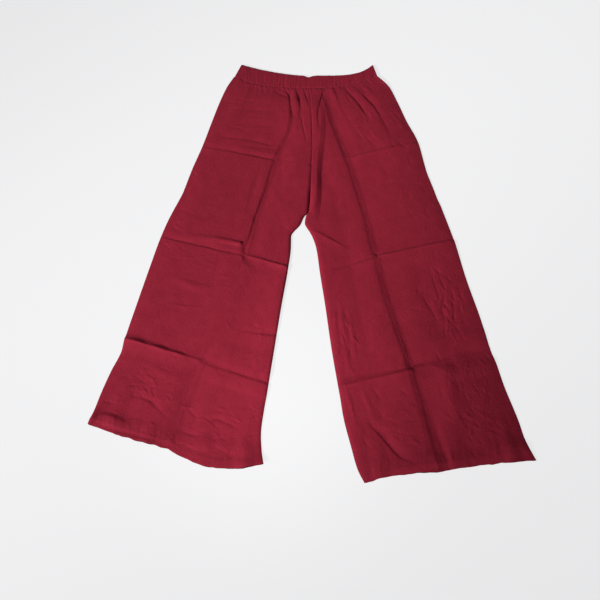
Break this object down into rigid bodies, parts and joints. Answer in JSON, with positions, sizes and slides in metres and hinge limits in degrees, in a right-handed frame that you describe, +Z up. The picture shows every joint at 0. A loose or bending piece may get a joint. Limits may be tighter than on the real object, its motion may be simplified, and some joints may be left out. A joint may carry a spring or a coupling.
{
  "type": "palazzo pants",
  "caption": "Wide-legged pull-on palazzo trousers of thin woven cloth with a gathered elastic waistband, lying flat, with pressed creases from folding.",
  "frame": {"origin": "on the surface the garment lies on, under the middle of its outline", "axes": "+Y from the hems to the waist, +X across the legs to the right seen from above with the hems nearest, +Z up out of the front of the garment"},
  "size_m": [0.866, 1.03, 0.0121],
  "materials": {
    "cloth": "matte"
  },
  "bodies": {
    "root": {"front_leg_left": "cloth", "front_leg_right": "cloth", "back_leg_left": "cloth", "back_leg_right": "cloth", "waistband": "cloth"}
  },
  "joints": []
}
